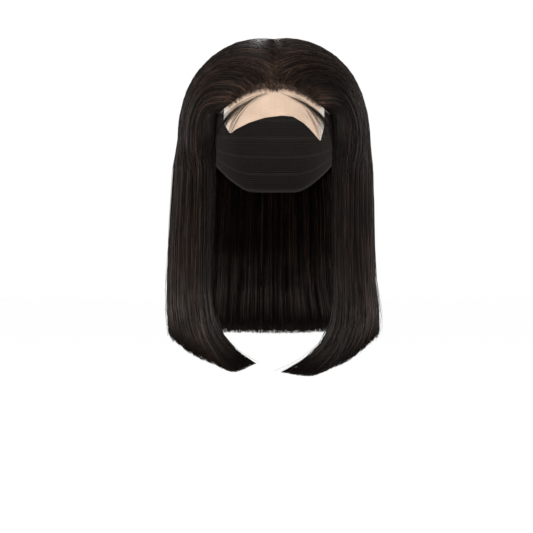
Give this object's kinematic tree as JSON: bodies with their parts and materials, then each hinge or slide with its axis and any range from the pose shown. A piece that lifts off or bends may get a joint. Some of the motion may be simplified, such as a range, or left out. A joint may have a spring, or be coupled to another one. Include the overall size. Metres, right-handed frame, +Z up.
{
  "type": "bob wig",
  "caption": "Shoulder-length straight bob wig with a lace front, parted in the centre, in the shape that it takes when worn.",
  "frame": {"origin": "the point inside the crown of the cap that rests on the top of the head", "axes": "+Z up along the head, -Y the way that the wearer faces, +X the wearer's left"},
  "size_m": [0.2251, 0.2089, 0.3516],
  "materials": {
    "hair": "off-black straight hair with a soft sheen",
    "cap": "dark stretch net, matt",
    "lace": "fine beige net, matt"
  },
  "bodies": {
    "root": {"wig_cap": "cap", "lace_front": "lace", "front_hair_left": "hair", "front_hair_right": "hair", "side_hair_left": "hair", "side_hair_right": "hair", "back_hair_left": "hair", "back_hair_right": "hair", "baby_hair_left": "hair", "baby_hair_right": "hair"}
  },
  "joints": []
}
